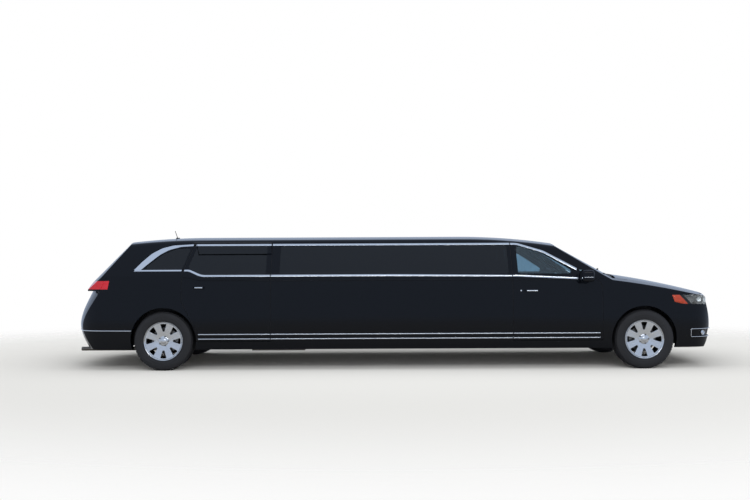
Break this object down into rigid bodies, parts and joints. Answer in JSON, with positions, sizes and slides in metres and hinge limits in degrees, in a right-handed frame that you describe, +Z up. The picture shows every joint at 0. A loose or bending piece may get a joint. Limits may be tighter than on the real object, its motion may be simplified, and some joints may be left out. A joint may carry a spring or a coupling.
{
  "type": "stretch limousine",
  "caption": "Black stretch limousine on a crossover body with a long centre section, hinged doors, hood and liftgate, steered front wheels and furnished cabin",
  "frame": {"origin": "on the ground at the middle of the length and width", "axes": "+X forward, +Y to the left, +Z up"},
  "size_m": [8.3217, 2.196, 1.792],
  "materials": {
    "paint_black": "gloss",
    "bright_metal": null,
    "tinted_glass": null,
    "clear_glass": null,
    "black_plastic": null,
    "lamp_lens": null,
    "red_lens": null,
    "tyre_rubber": null,
    "chassis_steel": null,
    "cast_metal": null,
    "exhaust_steel": null,
    "seat_leather": null,
    "cabin_trim": null
  },
  "bodies": {
    "body": {"body_side_left": "paint_black", "body_side_right": "paint_black", "roof_panel": "paint_black", "front_fenders": "paint_black", "front_bumper": "paint_black", "rear_bumper": "paint_black", "grille": "bright_metal", "side_glass": "tinted_glass", "windshield": "clear_glass", "headlamps": "lamp_lens", "tail_lamps": "red_lens", "floor_pan": "chassis_steel", "front_frame": "chassis_steel", "front_subframe": "chassis_steel", "rear_subframe": "chassis_steel", "bulkhead": "chassis_steel", "driveshaft": "chassis_steel", "fuel_tank": "chassis_steel", "engine_block": "cast_metal", "exhaust_system": "exhaust_steel", "front_seats": "seat_leather", "lounge_seats": "seat_leather", "bar_console": "cabin_trim", "partition": "cabin_trim", "dashboard": "cabin_trim", "steering_wheel": "black_plastic", "aerial": "black_plastic"},
    "hood": {"hood": "paint_black"},
    "liftgate": {"liftgate": "paint_black", "liftgate_glass": "tinted_glass", "liftgate_lamp": "red_lens"},
    "front_door_left": {"door_front_left": "paint_black", "door_glass_front_left": "clear_glass"},
    "front_door_right": {"door_front_right": "paint_black", "door_glass_front_right": "clear_glass"},
    "rear_door_left": {"door_rear_left": "paint_black", "door_glass_rear_left": "tinted_glass"},
    "rear_door_right": {"door_rear_right": "paint_black", "door_glass_rear_right": "tinted_glass"},
    "left_knuckle": {"knuckle_left": "cast_metal"},
    "right_knuckle": {"knuckle_right": "cast_metal"},
    "front_wheel_left": {"tyre_front_left": "tyre_rubber", "wheel_front_left": "bright_metal"},
    "front_wheel_right": {"tyre_front_right": "tyre_rubber", "wheel_front_right": "bright_metal"},
    "rear_wheel_left": {"tyre_rear_left": "tyre_rubber", "wheel_rear_left": "bright_metal"},
    "rear_wheel_right": {"tyre_rear_right": "tyre_rubber", "wheel_rear_right": "bright_metal"}
  },
  "joints": [
    {"name": "hood_hinge", "type": "hinge", "parent": "body", "child": "hood", "pos_m": [2.8, 0, 1.1], "axis": [0, -1, 0], "range_deg": [0, 55]},
    {"name": "liftgate_hinge", "type": "hinge", "parent": "body", "child": "liftgate", "pos_m": [-3.355, 0, 1.645], "axis": [0, 1, 0], "range_deg": [0, 80]},
    {"name": "front_door_hinge_left", "type": "hinge", "parent": "body", "child": "front_door_left", "pos_m": [2.585, 0.957, 0.8], "axis": [0, 0, -1], "range_deg": [0, 65]},
    {"name": "rear_door_hinge_left", "type": "hinge", "parent": "body", "child": "rear_door_left", "pos_m": [-1.581, 0.957, 0.8], "axis": [0, 0, -1], "range_deg": [0, 65]},
    {"name": "front_door_hinge_right", "type": "hinge", "parent": "body", "child": "front_door_right", "pos_m": [2.585, -0.957, 0.8], "axis": [0, 0, 1], "range_deg": [0, 65]},
    {"name": "rear_door_hinge_right", "type": "hinge", "parent": "body", "child": "rear_door_right", "pos_m": [-1.581, -0.957, 0.8], "axis": [0, 0, 1], "range_deg": [0, 65]},
    {"name": "steer_left", "type": "hinge", "parent": "body", "child": "left_knuckle", "pos_m": [3.1605, 0.79, 0.3695], "axis": [0, 0, 1], "range_deg": [-30, 30]},
    {"name": "steer_right", "type": "hinge", "parent": "body", "child": "right_knuckle", "pos_m": [3.1605, -0.79, 0.3695], "axis": [0, 0, 1], "range_deg": [-30, 30]},
    {"name": "front_wheel_spin_left", "type": "hinge", "parent": "left_knuckle", "child": "front_wheel_left", "pos_m": [3.1605, 0.828, 0.3695], "axis": [0, 1, 0], "continuous": true},
    {"name": "rear_wheel_spin_left", "type": "hinge", "parent": "body", "child": "rear_wheel_left", "pos_m": [-2.8825, 0.828, 0.3695], "axis": [0, 1, 0], "continuous": true},
    {"name": "front_wheel_spin_right", "type": "hinge", "parent": "right_knuckle", "child": "front_wheel_right", "pos_m": [3.1605, -0.828, 0.3695], "axis": [0, 1, 0], "continuous": true},
    {"name": "rear_wheel_spin_right", "type": "hinge", "parent": "body", "child": "rear_wheel_right", "pos_m": [-2.8825, -0.828, 0.3695], "axis": [0, 1, 0], "continuous": true}
  ],
  "couplings": [
    {"joint": "steer_left", "follows": "steer_right", "ratio": 1}
  ]
}
